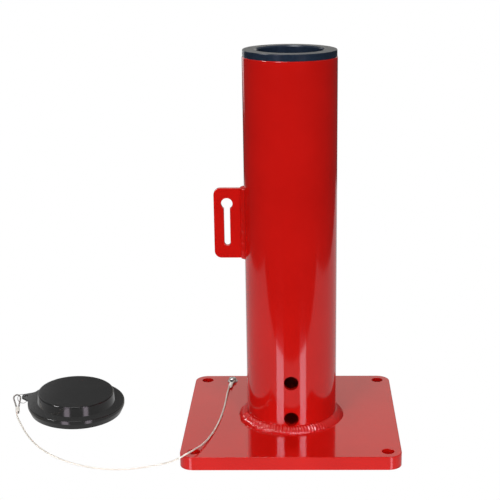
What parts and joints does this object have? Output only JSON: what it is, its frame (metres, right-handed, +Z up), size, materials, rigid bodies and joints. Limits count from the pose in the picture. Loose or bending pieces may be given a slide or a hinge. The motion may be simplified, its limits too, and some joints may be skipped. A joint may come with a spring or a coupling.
{
  "type": "surface-mounted post socket",
  "caption": "Steel sleeve welded to a square base plate, lined with flanged plastic bushes to hold a removable post, with a keyhole chain lug and a tethered rubber cap.",
  "frame": {"origin": "centre of the base plate's underside, on the sleeve's axis", "axes": "+Z up the sleeve; -X towards the chain lug; the locking-pin holes face -Y"},
  "size_m": [0.4815, 0.2579, 0.4572],
  "materials": {
    "red_powder_coat": "glossy powder coat",
    "black_nylon": "machined",
    "black_rubber": "moulded, slight sheen",
    "stainless_wire": "bright drawn",
    "steel_wire_rope": "stranded, galvanised",
    "aluminium_ferrule": "crimped",
    "zinc_washer": "zinc plated"
  },
  "bodies": {
    "root": {"base_plate": "red_powder_coat", "sleeve_tube": "red_powder_coat", "base_weld_bead": "red_powder_coat", "keyhole_lug": "red_powder_coat", "lug_weld_beads": "red_powder_coat", "upper_bush": "black_nylon", "lower_bush": "black_nylon", "lanyard_cable": "steel_wire_rope", "base_end_eye": "steel_wire_rope", "base_end_ferrule": "aluminium_ferrule", "lanyard_rivet": "stainless_wire", "rivet_washer": "zinc_washer"},
    "cap": {"sleeve_cap": "black_rubber", "cap_end_eye": "steel_wire_rope", "cap_end_ferrule": "aluminium_ferrule"},
    "ring": {"split_ring": "stainless_wire"}
  },
  "joints": [
    {"name": "cap_lift", "type": "slide", "parent": "root", "child": "cap", "axis": [0, 0, 1], "range_m": [0, 0.06]},
    {"name": "ring_turn", "type": "hinge", "parent": "cap", "child": "ring", "pos_m": [-0.34261, 0.05175, 0.01452], "axis": [0, 1, 0], "continuous": true}
  ]
}
